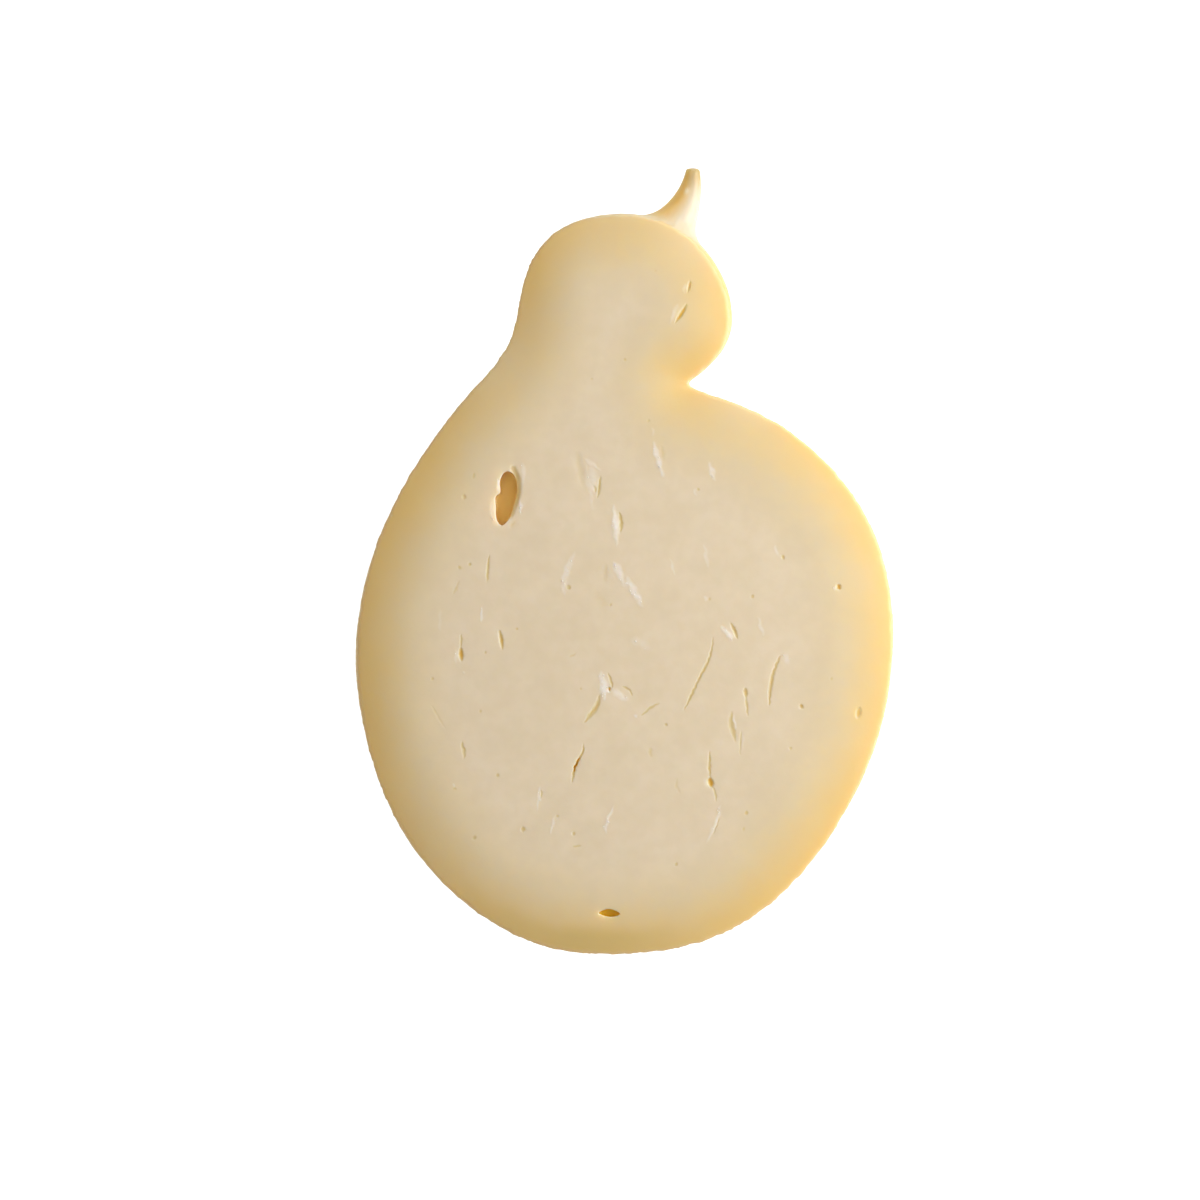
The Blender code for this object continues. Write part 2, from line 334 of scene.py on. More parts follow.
# Eyes that are bubbles, wider inside than their mouths: the one large eye, where two round holes have
# grown together, and the one near the foot. Wider is how far the bubble reaches under the paste, half
# is half the mouth's width, wall is the band of the face that bends down to make the bubble's wall,
# and ochre is how strongly its curd has coloured, from 0 to 1.
Bubble = namedtuple("Bubble", "mouth depth wider half wall ochre")
BUBBLES = (
    Bubble(((-30.9, 24.2), (-29.4, 23.0), (-28.7, 20.8), (-28.8, 18.2), (-29.4, 15.7), (-30.3, 12.7),
            (-31.5, 10.7), (-32.9, 9.8), (-33.9, 10.8), (-34.4, 13.1), (-34.5, 15.8), (-34.2, 17.8),
            (-33.4, 18.4), (-33.2, 19.4), (-33.4, 20.9), (-32.9, 22.8), (-32.0, 24.0)),
           4.6, 0.6, 2.8, 0.84, 0.0),
    Bubble(((-6.8, -94.0), (-5.5, -93.2), (-4.0, -92.9), (-2.5, -93.3), (-1.2, -94.3), (-2.3, -94.95),
            (-3.6, -95.1), (-5.4, -94.8)),
           2.6, 0.3, 1.2, 0.42, 1.0),
)
WALL_STEP = 0.12  # between the rows of points that make a bubble's wall
MOUTH_STEP = 0.03  # between the points of a mouth
MOUTH_ROWS, MOUTH_BORDER = 8, 4  # the rows and the border take one in this many of them
FLOOR_SLOPE = 0.1  # how much a bubble's floor deepens towards its middle

# Small eyes, round or drawn out to a point by the stretching.
EYES = (
    Mark(((-43.8, -22.9), (-43.6, -26.6)), 1.45, 0.39),
    Mark(((-33.5, -18.2), (-32.9, -20.7), (-32.6, -23.5)), 1.2, 0.31),
    Mark(((22.8, -57.7), (23.4, -60.4)), 1.75, 0.47),
    Mark(((32.3, -33.6), (32.6, -36.3)), 1.3, 0.27),
    Mark(((47.4, -38.1), (47.4, -39.4)), 1.25, 0.30),
    Mark(((63.1, -38.8), (62.5, -42.1)), 1.6, 0.35),
    Mark(((57.4, -5.8), (57.5, -7.6)), 1.4, 0.42),
    Mark(((28.4, -16.2), (29.0, -17.4), (29.7, -18.8), (30.3, -20.7)), 1.1, 0.25),
    Mark(((17.7, 75.4), (17.4, 73.9), (17.0, 72.2)), 0.9, 0.34),
    Mark(((16.7, 69.1), (15.7, 67.1), (14.7, 65.6), (13.6, 64.0)), 1.2, 0.41),
    Mark(((42.4, 1.9), (42.6, 0.5)), 1.0, 0.23),
    Mark(((-27.1, -70.9), (-27.1, -72.3)), 1.3, 0.21),
)

# Slits: thin, shallow and pointed at both ends.
SLITS = (
    Mark(((-43.7, -19.4), (-43.7, -21.2), (-43.8, -23.1)), 0.8, 0.18),
    Mark(((22.8, -50.7), (22.9, -53.4), (22.7, -55.7), (23.1, -58.1)), 1.0, 0.23),
    Mark(((23.5, -60.1), (24.4, -61.7), (24.7, -64.1)), 0.9, 0.16),
    Mark(((25.5, -68.4), (24.7, -71.0), (23.8, -73.1)), 0.6, 0.13),
    Mark(((32.6, -36.2), (32.8, -38.6), (33.0, -41.3)), 0.9, 0.16),
    Mark(((23.7, -20.0), (23.3, -24.4), (21.8, -28.0), (19.7, -31.8), (17.2, -37.4), (15.7, -40.2)),
         1.0, 0.26),
    Mark(((41.8, -24.9), (40.9, -27.2), (39.9, -29.5), (39.4, -32.2), (38.9, -35.0), (38.8, -38.5)),
         1.2, 0.26),
    Mark(((-11.0, -48.7), (-10.8, -50.4), (-11.8, -52.1), (-12.5, -53.4), (-13.2, -54.7), (-13.5, -56.1),
          (-13.8, -57.7), (-14.2, -59.3)), 1.0, 0.31),
    Mark(((-12.1, -52.4), (-12.7, -53.7), (-13.4, -55.3), (-13.6, -56.4)), 0.6, 0.75),
    Mark(((-6.7, -35.5), (-7.0, -37.8), (-7.8, -39.4), (-9.3, -41.2), (-10.8, -43.2)), 1.8, 0.26),
    Mark(((9.5, -37.7), (7.5, -38.7), (5.8, -40.0), (4.4, -41.4)), 1.0, 0.16),
    Mark(((28.7, -40.0), (28.5, -42.3), (28.7, -44.3), (29.3, -46.0), (29.8, -48.3)), 2.0, 0.16),
    Mark(((31.2, -45.1), (31.1, -48.8), (31.0, -52.0)), 0.7, 0.13),
    Mark(((-36.2, 2.0), (-36.5, -0.7), (-36.6, -3.0), (-36.8, -5.5)), 1.0, 0.21),
    Mark(((-43.5, -47.8), (-43.3, -49.5), (-42.8, -51.0), (-43.0, -52.7)), 1.2, 0.21),
    Mark(((-1.5, 13.5), (-0.9, 11.5), (-0.8, 9.7), (-1.0, 8.0)), 1.3, 0.26),
    Mark(((-6.5, 22.9), (-6.7, 20.4), (-7.1, 16.9)), 1.1, 0.23),
    Mark(((-8.0, 20.5), (-7.7, 18.6)), 1.3, 0.21),
    Mark(((-4.4, -29.8), (-3.7, -31.5), (-3.0, -34.1)), 1.0, 0.21),
    Mark(((-4.1, -33.4), (-4.0, -34.6)), 1.1, 0.52),
    Mark(((-0.7, -33.3), (1.2, -34.0), (2.2, -35.8)), 0.9, 0.21),
    Mark(((-44.2, -4.9), (-45.0, -7.0), (-45.9, -9.1)), 1.2, 0.08),
    Mark(((-40.1, 24.0), (-40.5, 22.1)), 0.9, 0.13),
    Mark(((-51.8, -38.3), (-50.5, -40.3), (-49.3, -42.4), (-47.8, -44.8)), 1.0, 0.06),
    Mark(((-14.0, -76.2), (-11.5, -76.1)), 1.0, 0.13),
    Mark(((-12.8, -24.3), (-14.7, -25.6)), 0.9, 0.08),
    Mark(((-22.2, -60.8), (-22.3, -63.5)), 0.6, 0.13),
    Mark(((10.0, 31.0), (10.6, 26.7)), 1.6, 0.06),
    Mark(((14.3, -57.8), (13.8, -60.1), (15.2, -62.2)), 1.2, 0.06),
    Mark(((6.9, -49.5), (7.1, -52.3)), 1.8, 0.08),
    Mark(((-46.0, -60.7), (-45.0, -60.8)), 0.7, 0.13),
)

# Pinholes: place and width.
PITS = (
    (-42.9, 17.4, 1.3), (-44.2, -1.5, 1.0), (-41.4, -0.6, 1.1), (-14.9, -6.8, 1.3), (-3.7, -11.5, 0.9),
    (-11.7, -34.0, 0.8), (11.2, -43.6, 1.0), (-51.4, -31.3, 1.0), (-38.5, -40.0, 0.9), (-33.9, -57.1, 1.1),
    (-40.2, -73.8, 1.3), (-17.9, -68.1, 1.0), (-13.6, -72.7, 1.1), (13.9, -81.0, 1.1), (32.7, -67.2, 1.15),
    (31.9, -71.6, 0.9), (44.5, -49.9, 1.0), (55.4, -31.3, 0.9), (34.3, -9.3, 1.1), (22.8, -10.0, 0.9),
    (19.8, 19.4, 1.0), (6.5, 37.8, 0.9), (0.1, 54.2, 0.9), (8.3, 78.0, 0.7), (-28.7, -18.0, 0.8),
    (-37.2, -24.3, 0.9), (-8.8, 49.0, 0.8), (-62.4, 12.6, 0.9),
)
PIT_DEPTH = 0.13  # for each millimetre of width
ROUND_MARKS = EYES + tuple(
    Mark(((x, y + width / 2), (x, y - width / 2)), width, PIT_DEPTH * width) for x, y, width in PITS)

# Curls of pale torn curd that stand up a little beside the eyes and slits, or on their own. Many of
# the pale marks at the left edges of the eyes and slits, and right of the large eye, are in part
# painted highlight where their walls face the lamp. The last number is how pale and how high they
# are, from 0 to 1.
CURLS_AND_HIGHLIGHTS = (
    Mark(((-10.9, 27.8), (-8.4, 26.1), (-6.2, 24.3)), 1.3, 0.50),
    Mark(((-10.3, 26.6), (-10.0, 22.5), (-9.0, 18.0), (-8.4, 13.6)), 1.6, 0.35),
    Mark(((-9.2, 25.6), (-8.3, 22.0), (-8.0, 18.3)), 3.0, 0.40),
    Mark(((-2.8, 15.6), (-2.4, 10.6), (-2.0, 4.0)), 2.0, 1.00),
    Mark(((7.2, 36.2), (7.8, 33.8)), 1.0, 0.40),
    Mark(((7.8, 32.6), (8.4, 29.5), (9.2, 26.7), (10.5, 22.6)), 1.9, 0.90),
    Mark(((22.6, 27.1), (23.4, 24.4), (24.2, 21.5)), 1.9, 0.70),
    Mark(((-3.1, 0.3), (-1.5, -2.5), (-0.5, -5.4)), 2.6, 0.80),
    Mark(((0.7, -3.8), (1.8, -6.4), (3.3, -9.4), (5.1, -12.3)), 2.5, 0.80),
    Mark(((-0.9, -4.8), (1.8, -7.0)), 2.2, 0.40),
    Mark(((-13.1, 2.8), (-14.6, 0.0), (-15.6, -2.4), (-16.3, -5.4), (-16.2, -9.0)), 2.1, 0.55),
    Mark(((12.2, 1.1), (12.9, -1.6), (13.7, -4.1)), 1.0, 0.50),
    Mark(((21.5, 4.9), (22.0, 0.5), (22.5, -1.9)), 1.4, 0.50),
    Mark(((40.2, 4.8), (41.1, 1.4)), 1.3, 0.50),
    Mark(((35.7, -14.5), (36.6, -17.4), (37.4, -19.7)), 1.4, 0.60),
    Mark(((42.6, -24.4), (44.1, -27.4)), 2.2, 0.40),
    Mark(((25.8, -17.0), (27.4, -18.9), (29.3, -21.2)), 1.9, 1.00),
    Mark(((-6.4, -29.2), (-5.8, -31.7), (-5.5, -34.3), (-5.4, -36.9)), 2.6, 1.00),
    Mark(((-5.1, -34.6), (-3.6, -35.0)), 1.2, 0.80),
    Mark(((-3.6, -34.2), (-1.7, -35.4), (1.0, -37.3)), 2.4, 0.70),
    Mark(((2.7, -40.8), (3.3, -41.5)), 1.2, 0.60),
    Mark(((-2.7, -65.1), (-4.0, -68.0), (-4.8, -70.2), (-5.1, -72.8)), 1.1, 0.80),
    Mark(((25.8, -64.8), (25.5, -67.2), (24.2, -70.6), (23.1, -73.0), (21.8, -75.7)), 1.4, 0.60),
    Mark(((-22.6, -59.6), (-22.8, -62.0), (-23.1, -64.7), (-23.3, -66.8)), 0.9, 0.60),
    Mark(((-18.7, -68.1), (-19.3, -70.6), (-19.8, -73.0)), 1.1, 0.70),
    Mark(((-38.2, -12.0), (-38.2, -16.4)), 1.0, 0.70),
    Mark(((-49.4, -12.6), (-49.3, -18.8)), 1.2, 0.25),
    Mark(((-43.4, -29.3), (-42.6, -30.3)), 1.0, 0.50),
    Mark(((-46.0, -59.3), (-45.4, -60.4)), 0.9, 0.50),
    Mark(((29.2, -40.7), (29.4, -42.9), (29.9, -45.1)), 0.8, 1.00),
    Mark(((31.7, -45.6), (31.7, -51.0)), 0.7, 0.30),
    Mark(((1.5, -20.4), (4.2, -21.7), (6.9, -23.3)), 3.0, 0.30),
    Mark(((-33.8, 22.5), (-33.8, 20.4), (-33.7, 18.6)), 1.0, 1.00),
    Mark(((-35.4, 16.6), (-35.6, 13.6), (-34.9, 10.4)), 1.8, 0.30),
    Mark(((-27.2, 26.6), (-26.9, 23.1), (-27.1, 20.9)), 1.8, 0.50),
    Mark(((-27.8, 16.6), (-27.9, 12.6)), 1.2, 0.70),
    Mark(((14.3, 69.1), (13.2, 66.6), (12.4, 63.8)), 1.4, 0.40),
    Mark(((16.2, 74.8), (16.0, 71.9)), 1.3, 0.40),
    Mark(((56.2, -6.4), (56.3, -7.7)), 1.1, 0.50),
    Mark(((21.6, -57.7), (21.8, -60.6)), 1.4, 0.20),
    Mark(((-45.2, -23.6), (-45.0, -27.1)), 1.4, 0.40),
    Mark(((21.6, -9.1), (21.8, -10.5)), 1.5, 0.50),
    Mark(((18.6, 19.9), (19.5, 17.8)), 1.0, 0.50),
    Mark(((-4.2, -34.9), (-4.2, -35.3)), 0.6, 1.00),
)
CURL_RISE = 0.08

# Broad soft dips beside the large eye and the largest curls, tinted with painted shade.
DIPS = (
    Mark(((-29.6, 26.0), (-29.1, 22.5), (-29.0, 19.0), (-29.6, 15.5), (-30.8, 11.4)), 3.4, 0.70),
    Mark(((-30.9, 9.4), (-29.0, 10.5)), 1.8, 0.15),
    Mark(((-13.1, 30.0), (-11.9, 25.8), (-11.1, 20.4)), 3.4, 0.12),
    Mark(((-5.3, -1.1), (-4.7, -5.9)), 2.4, 0.14),
    Mark(((-7.6, -7.5), (-4.9, -13.4)), 5.0, 0.10),
)


MARK_POINTED = 0.0016  # square of the share of its width that a mark still has at its ends
MARK_RUN = (0.01, 0.99)  # shares of its length between which a mark's row of points runs
MARK_FEWEST = 4  # points in a row
MARK_MARGIN = 0.5  # how far past its width a mark may stray


def smooth_path(path):
    """The path with its corners cut three times."""
    path = np.array(path)
    for _ in range(3):
        quarter = np.column_stack([path[:-1] * 0.75 + path[1:] * 0.25, path[:-1] * 0.25 + path[1:] * 0.75])
        path = np.concatenate([path[:1], quarter.reshape(-1, 2)[1:-1], path[-1:]])
    return path


def wobble(points, size):
    """Soft unevenness from -1 to 1, its swells about that many millimetres long."""
    x, y = points.T * 2 * math.pi / size
    first = np.sin(0.9 * x + 0.5 * y + 1) * np.sin(0.4 * x - 0.8 * y)
    second = np.sin(1.3 * y - 0.7 * x + 2) * np.sin(x + 0.3 * y)
    return (first + second) / 1.6


def half_width(mark, share):
    """Half of a mark's width at that share of its length."""
    return mark.width / 2 * np.sqrt(np.clip(1 - (2 * share - 1) ** 2, MARK_POINTED, 1))


def along_path(mark, step):
    """Evenly spaced points along a mark, the directions there, and half its width there."""
    path = smooth_path(mark.path)
    gone = np.append(0, np.cumsum(np.hypot(*np.diff(path, axis=0).T)))
    share = np.linspace(*MARK_RUN, max(MARK_FEWEST, round(gone[-1] / step)))
    points = np.column_stack([np.interp(share * gone[-1], gone, each) for each in path.T])
    along = np.gradient(points, axis=0)
    return points, along / np.hypot(*along.T)[:, None], half_width(mark, share)


def rows_beside(points, along, offsets):
    """Copies of a row of points, moved aside by each offset."""
    aside = np.column_stack([-along[:, 1], along[:, 0]])
    return np.concatenate([points + aside * np.reshape(offset, (-1, 1)) for offset in offsets])


def spaced(points, gap):
    """The points, without those nearer than the gap to one before them."""
    tree = tree_of(points)
    kept = np.ones(len(points), bool)
    for i, point in enumerate(points):
        if kept[i]:
            for _, j, _ in tree.find_range((*point, 0.0), gap):
                kept[j] &= j <= i
    return points[kept]


def mouth_of(bubble):
    """The bubble's mouth as a close row of points."""
    corners = np.array(bubble.mouth)
    gaps = np.hypot(*(np.roll(corners, -1, axis=0) - corners).T)
    mouth_at = smooth_loop(corners, np.append(0, np.cumsum(gaps)[:-1]), gaps.sum())
    return mouth_at(np.arange(0, gaps.sum(), MOUTH_STEP))


def ring_directions(ring):
    """The direction along a closed row of points at each of them."""
    along = np.roll(ring, -1, axis=0) - np.roll(ring, 1, axis=0)
    return along / np.hypot(*along.T)[:, None]


def face_points():
    """Points of the cut face: rows along its edge, eyes and slits, and a lattice, closest at the marks."""
    rows, samples = [], []
    for bubble in BUBBLES:
        mouth = mouth_of(bubble)[::MOUTH_ROWS]
        offsets = np.arange(WALL_STEP, -bubble.wall, -WALL_STEP)
        rows.append(rows_beside(mouth, ring_directions(mouth), offsets))
        samples.append(np.column_stack([mouth, np.zeros(len(mouth))]))
    for mark in (*ROUND_MARKS, *SLITS, *CURLS_AND_HIGHLIGHTS):
        points, along, half = along_path(mark, ROW_STEP)
        samples.append(np.column_stack([points, half]))
        if mark not in CURLS_AND_HIGHLIGHTS:
            rows.append(rows_beside(points, along, [half * place for place in ROW_PLACES]))
    rows, samples = spaced(np.concatenate(rows), ROW_GAP), np.concatenate(samples)
    mark_tree, row_tree = tree_of(samples[:, :2]), tree_of(rows)
    kept = [rows, rows_beside(rim, ring_directions(rim), EDGE_ROWS)]
    for step, far, near in zip(FACE_STEPS, (np.inf, *NEAR), (*NEAR, -np.inf)):
        points = lattice(rim.min(0), rim.max(0), step)
        points = points[inside(points, rim)]
        found = [mark_tree.find((*point, 0.0)) for point in points]
        gap = np.array([each[2] - samples[each[1], 2] for each in found])
        points = points[(gap < far) & (gap >= near)]
        points = points[distances(row_tree, points) > CLEAR * FACE_STEPS[-1]]
        kept.append(points[distances(rim_tree, points) > EDGE_CLEAR])
    return np.concatenate(kept)


def ruffled(points, share):
    """The points moved in or out by the edge's small unevenness, where the share is 1, or by less."""
    nearest = [rim_tree.find((*point, 0.0))[1] for point in points]
    along = ring_directions(rim_fine)[nearest]
    amount = share * (RUFFLE * wobble(points, RUFFLE_LENGTH) + FINE_RUFFLE * wobble(points, FINE_LENGTH))
    return points + np.column_stack([along[:, 1], -along[:, 0]]) * amount[:, None]


def sink(from_rim):
    """How far the face lies below its middle, that far from the rim."""
    return RIM_SINK * np.clip(1 - from_rim / RIM_BAND, 0, 1) ** 2 \
        + 0.5 * RIM_ROUND * np.clip(1 - from_rim / RIM_ROUND, 0, 1) ** 2


def follow(points, path):
    """How far each point is from the path, and its share of the path gone by."""
    best, share = np.full(len(points), np.inf), np.zeros(len(points))
    path = smooth_path(path)
    lengths = np.hypot(*np.diff(path, axis=0).T)
    before = 0.0
    for start, end, length in zip(path, path[1:], lengths):
        unit = (end - start) / length
        run = np.clip((points - start) @ unit, 0, length)
        reach = np.hypot(*(points - start - run[:, None] * unit).T)
        closer = reach < best
        best[closer] = reach[closer]
        share[closer] = (before + run[closer]) / lengths.sum()
        before += length
    return best, share


def relief(points, marks, bend, warp, size):
    """The sum of the marks' amounts at each point.

    The bend shapes their walls. Their outlines stray by the warp, in swells of that size.
    """
    points = points + warp * np.column_stack([wobble(points, size), wobble(points[:, ::-1] + size, size)])
    total = np.zeros(len(points))
    for mark in marks:
        path = np.array(mark.path)
        reach = mark.width + MARK_MARGIN
        chosen = np.flatnonzero(((points > path.min(0) - reach) & (points < path.max(0) + reach)).all(1))
        near, share = follow(points[chosen], mark.path)
        half = half_width(mark, share)
        total[chosen] += mark.amount * np.clip(1 - (near / half) ** 2, 0, 1) ** bend \
            * np.clip(2 * half / mark.width, 0, 1)
    return total


def open_bubbles(points):
    """The points that the bubbles move aside, their depth at each, and how ochre they are there."""
    moved, depth, ochre = points.copy(), np.zeros(len(points)), np.zeros(len(points))
    for bubble in BUBBLES:
        mouth = mouth_of(bubble)
        tree = tree_of(mouth)
        within = np.flatnonzero(inside(points, mouth[::MOUTH_BORDER]))
        found = [tree.find((*point, 0.0)) for point in points[within]]
        gap = np.array([each[2] for each in found])
        inward = points[within] - np.array([each[0][:2] for each in found])
        inward /= np.maximum(gap, 1e-6)[:, None]
        turn = math.pi * np.clip(gap / bubble.wall, 0, 1)
        floor = np.clip(gap - bubble.wall, 0, None) * bubble.half / (bubble.half - bubble.wall)
        moved[within] += inward * (floor - bubble.wider * np.sin(turn) ** 3 - gap)[:, None]
        depth[within] = bubble.depth * (1 - np.cos(turn)) / 2 + FLOOR_SLOPE * floor
        ochre[within] = bubble.ochre
    return moved, depth, ochre


# One closed mesh of face and skin, which share the rim. The points carry what the relief and the
# finish follow: how far they are from the rim, how deep in a hollow, how torn, and how much rind.

# How the walls of the marks bend, how far their outlines stray and in swells of what size.
ROUND_WALLS = (0.8, 0.06, 1.7)
SLIT_WALLS = (2.0, 0.15, 2.5)
CURL_WALLS = (1.4, 0.28, 4.3)
DIP_WALLS = (2.0, 0.3, 6.0)
FACE_FADE, SKIN_FADE = 0.8, 3.0  # how far the edge's unevenness reaches, on the face and the skin
SINK_FADE = 8.0  # how far down the skin follows the sunk rim
TIP_FADE = 1.6  # how far round its base the tip's finish ends, of its reach
BEHIND = 9.0  # keeps the painted highlight off the tip's back
ON_RIM = 0.001  # points of the face nearer to it than this are on the rim
MERGED = 0.002  # points of face and skin nearer than this are one

# Where each finish starts and where it is full: from the rim, below it and above the floor in
# millimetres, and along the tip from 0 to 1.
FACE_WAVE_BAND = (0, 3)
RIND_BAND = (0, 3)
FLOOR_BAND = (0.5, 5.5)
TORN_BAND = (0.5, 1)
SHADED_FLANK_BAND = (0, 0.12)
NIPPED_BAND, NIPPED_BEND = (0.5, 0.9), 1.5
# Painted shade down the tip's left flank, the side away from the lamp.
FLANK_SHADE_MIDDLE, FLANK_SHADE_LEFT = 0.15, 1.5  # its share in the middle of the tip, and its gain to the left
NIPPED_MIDDLE, NIPPED_RIGHT, NIPPED_LEAST = 0.8, 0.5, 0.5
HOLLOW_TORN = 1.5  # how torn a hollow is for each millimetre of depth
# The dips' tint is painted shade.
DIP_PAINTED_SHADE = 0.4  # a dip's colour, as a share of a hollow's
TIP_SMOOTHED = 0.8  # how much of the rind's relief is gone round the tip

# How dry the rim is, and where its yellow is weaker or stronger: place, reach and how much is added.
USUAL_DRYNESS = 0.75
DRYNESS = (
    ((-1.0, 95.0), 15.0, -0.45),
    ((-34.0, 54.0), 14.0, -0.70),
    ((32.0, 42.0), 13.0, -0.70),
    ((-52.0, -82.0), 18.0, -0.25),
    ((15.5, 57.0), 9.0, 0.45),
    ((19.0, 86.0), 11.0, -0.65),
    ((0.0, -100.0), 25.0, -0.10),
)

face_flat, face_faces = triangles(rim, face_points())
skin_flat, skin_faces = triangles(flat_rim, skin_lattice())

from_rim = distances(rim_tree, face_flat)
from_rim[distances(tree_of(rim), face_flat) < ON_RIM] = 0
hollows = relief(face_flat, ROUND_MARKS, *ROUND_WALLS) + relief(face_flat, SLITS, *SLIT_WALLS)
opened, bubble_depth, ochre = open_bubbles(face_flat)
curls_and_highlights = relief(face_flat, CURLS_AND_HIGHLIGHTS, *CURL_WALLS)
dips = relief(face_flat, DIPS, *DIP_WALLS)
face_height = CUT_HEIGHT - sink(from_rim) - hollows - bubble_depth + CURL_RISE * curls_and_highlights - dips
face = np.column_stack([ruffled(opened, np.exp(-from_rim / FACE_FADE)), face_height])

skin, along_tip, tip_side = draw_tip(unfold(skin_flat))
depth = -unfold(skin_flat)[:, 2]
lowered = CUT_HEIGHT + skin[:, 2] - sink(np.zeros(1)) * np.exp(-np.clip(depth, 0, None) / SINK_FADE)
skin[:, 2] = SETTLE * np.logaddexp(0, lowered / SETTLE)
skin[:, :2] = ruffled(skin[:, :2], np.exp(-np.clip(depth, 0, None) / SKIN_FADE))
near_tip = np.clip(TIP_FADE - np.linalg.norm(unfold(skin_flat) - TIP_BASE, axis=1) / TIP_REACH, 0, 1)
# Where the painted highlight lies on the tip's front.
highlight_gap = np.hypot(*(skin[:, :2] - TIP_HIGHLIGHT).T) + BEHIND * (skin[:, 2] < CUT_HEIGHT + TIP_CURVE[3, 2])
dry = np.full(len(face), USUAL_DRYNESS)
for place, reach, more in DRYNESS:
    dry += USUAL_DRYNESS * more * np.exp(-((face_flat - place) ** 2).sum(1) / reach ** 2)


def new_object(name, data):
    obj = bpy.data.objects.new(name, data)
    bpy.context.scene.collection.objects.link(obj)
    return obj


# The rim is a little browner at the foot.
FOOT_PLACE, FOOT_REACH = (-10.0, -104.0), 24.0
foot = np.exp(-((face_flat - FOOT_PLACE) ** 2).sum(1) / FOOT_REACH ** 2)

mesh = bpy.data.meshes.new("cheese_half")
points = np.concatenate([face, skin]) * MM
mesh.from_pydata(points, [], np.concatenate([face_faces, skin_faces[:, ::-1] + len(face)]).tolist())
attributes = {
    "from_rim": (from_rim, 0),
    "dry": (np.clip(dry, 0, 1), 0),
    "foot": (foot, 0),
    # the hollows' ochre, and the dips' painted shade
    "hollow_and_dip_shade": (hollows + DIP_PAINTED_SHADE * dips, 0),
    "bubble": (bubble_depth, 0),
    "ochre": (ochre, 0),
    # pale curd, in part painted highlight at the lit edges of eyes and slits
    "curl_and_highlight": (np.clip(curls_and_highlights, 0, 1), 0),
    "torn": (np.clip(HOLLOW_TORN * hollows + curls_and_highlights, 0, 1) * (bubble_depth == 0),
             ramp(along_tip, *TORN_BAND)),
    "face_wave": (ramp(from_rim, *FACE_WAVE_BAND) * (bubble_depth == 0), 0),
    "rind": (0, ramp(depth, *RIND_BAND) * (1 - TIP_SMOOTHED * near_tip) * ramp(skin[:, 2], *FLOOR_BAND)),
    "drawn": (0, near_tip),
    # painted shade down the tip's left flank
    "shaded_flank": (0, ramp(along_tip, *SHADED_FLANK_BAND) * np.clip(FLANK_SHADE_MIDDLE - FLANK_SHADE_LEFT * tip_side, 0, 1)),
    "nipped": (0, ramp(along_tip, *NIPPED_BAND) ** NIPPED_BEND
               * np.clip(NIPPED_MIDDLE + NIPPED_RIGHT * tip_side, NIPPED_LEAST, 1)),
    # painted highlight on the tip's front
    "painted_highlight": (0, np.exp(-(highlight_gap / TIP_HIGHLIGHT_SIZE) ** 2)),
}
for name, (on_face, on_skin) in attributes.items():
    values = np.concatenate([on_face + np.zeros(len(face)), on_skin + np.zeros(len(skin))])
    mesh.attributes.new(name, "FLOAT", "POINT").data.foreach_set("value", values.astype(np.float32))
cut_faces = np.arange(len(face_faces) + len(skin_faces)) < len(face_faces)
mesh.attributes.new("cut_face", "BOOLEAN", "FACE").data.foreach_set("value", cut_faces)

shell = bmesh.new()
shell.from_mesh(mesh)
bmesh.ops.remove_doubles(shell, verts=shell.verts, dist=MERGED * MM)
bmesh.ops.recalc_face_normals(shell, faces=shell.faces)
print("open edges", sum(not edge.is_manifold for edge in shell.edges), "triangles", len(shell.faces))
shell.to_mesh(mesh)
shell.free()
mesh.shade_smooth()
cheese = new_object("cheese_half", mesh)


# The paste and the rind. The paste is cream, fatty and faintly see-through, yellower towards the rim
# and ochre in its eyes; its soft dips carry painted shade, and its pale curls are partly painted
# highlight. The rind is the same curd, dried to a thin mottled straw-coloured skin. It is palest at
# the tip, which has painted ochre shade down its left side, away from the lamp, a painted highlight
# on its front and a dull nipped end.

NOISE_SPAN = (0.3, 0.7)  # values between which nearly all of a noise lies


def add_node(tree, kind, inputs=(), **settings):
    """A node with its settings made, and each input either linked or set."""
    node = tree.nodes.new(kind)
    for name, value in settings.items():
        setattr(node, name, value)
    for name, value in dict(inputs).items():
        if isinstance(value, bpy.types.NodeSocket):
            tree.links.new(value, node.inputs[name])
        else:
            node.inputs[name].default_value = value
    return node


def linear(red, green, blue):
    """The shader's linear colour for one read as 0 to 255."""
    return (*(((c / 255 + 0.055) / 1.055) ** 2.4 for c in (red, green, blue)), 1.0)


def noise(tree, place, size, detail=2.0):
    """Soft noise of that size in millimetres."""
    settings = {"Vector": place, "Scale": 1 / (size * MM), "Detail": detail}
    return add_node(tree, "ShaderNodeTexNoise", settings).outputs["Fac"]


def spread(tree, value, low, high, to_low=0.0, to_high=1.0):
    """The value run smoothly from low to high."""
    settings = {"Value": value, "From Min": low, "From Max": high, "To Min": to_low, "To Max": to_high}
    return add_node(tree, "ShaderNodeMapRange", settings, interpolation_type="SMOOTHSTEP").outputs["Result"]


def blend(tree, share, first, second):
    """The second colour over the first."""
    node = add_node(tree, "ShaderNodeMix", data_type="RGBA")
    for socket, value in zip((node.inputs[0], node.inputs[6], node.inputs[7]), (share, first, second)):
        if isinstance(value, bpy.types.NodeSocket):
            tree.links.new(value, socket)
        else:
            socket.default_value = value
    return node.outputs[2]


def math_node(tree, kind, first, second):
    return add_node(tree, "ShaderNodeMath", {0: first, 1: second}, operation=kind).outputs[0]


